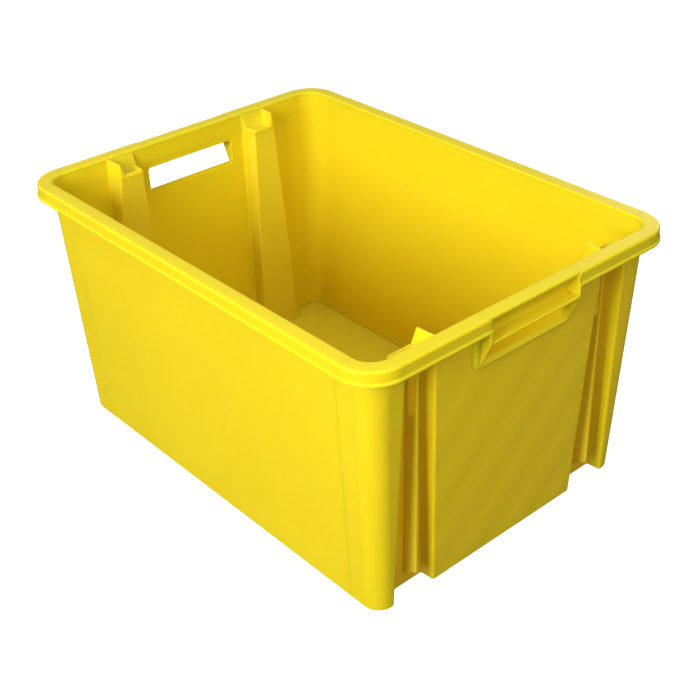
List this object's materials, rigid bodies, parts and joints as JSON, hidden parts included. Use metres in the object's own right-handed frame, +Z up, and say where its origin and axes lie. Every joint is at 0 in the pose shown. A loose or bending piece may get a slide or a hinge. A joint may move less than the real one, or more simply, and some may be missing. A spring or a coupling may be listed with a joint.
{
  "type": "stacking crate",
  "caption": "Open-topped stacking crate with drafted walls, an overhanging rim, a hand hole with a grip in each end, and inner pilasters with seats for a crate on top.",
  "frame": {"origin": "centre of the underside of the base, midway between the ends and the long walls", "axes": "+X along the length towards end A, whose channels are further apart; +Z up, out of the open top; Y across"},
  "size_m": [0.6, 0.446, 0.316],
  "materials": {
    "body_plastic": "moulded yellow polypropylene, smooth with a fine grain",
    "rim_plastic": "moulded yellow polypropylene, smooth, slightly worn on the edges"
  },
  "bodies": {
    "root": {"floor_panel": "body_plastic", "long_wall_front": "body_plastic", "long_wall_back": "body_plastic", "end_panel_a": "body_plastic", "end_panel_b": "body_plastic", "corner_post_a_front": "body_plastic", "corner_post_a_back": "body_plastic", "corner_post_b_front": "body_plastic", "corner_post_b_back": "body_plastic", "pilaster_a_front": "body_plastic", "pilaster_a_back": "body_plastic", "pilaster_b_front": "body_plastic", "pilaster_b_back": "body_plastic", "seat_a_front": "body_plastic", "seat_a_back": "body_plastic", "seat_b_front": "body_plastic", "seat_b_back": "body_plastic", "channel_rib_a_front": "body_plastic", "channel_rib_a_back": "body_plastic", "channel_rib_b_front": "body_plastic", "channel_rib_b_back": "body_plastic", "rim_front": "rim_plastic", "rim_back": "rim_plastic", "rim_end_a": "rim_plastic", "rim_end_b": "rim_plastic", "rim_corner_a_front": "rim_plastic", "rim_corner_a_back": "rim_plastic", "rim_corner_b_front": "rim_plastic", "rim_corner_b_back": "rim_plastic", "handle_a": "body_plastic", "handle_b": "body_plastic"}
  },
  "joints": []
}
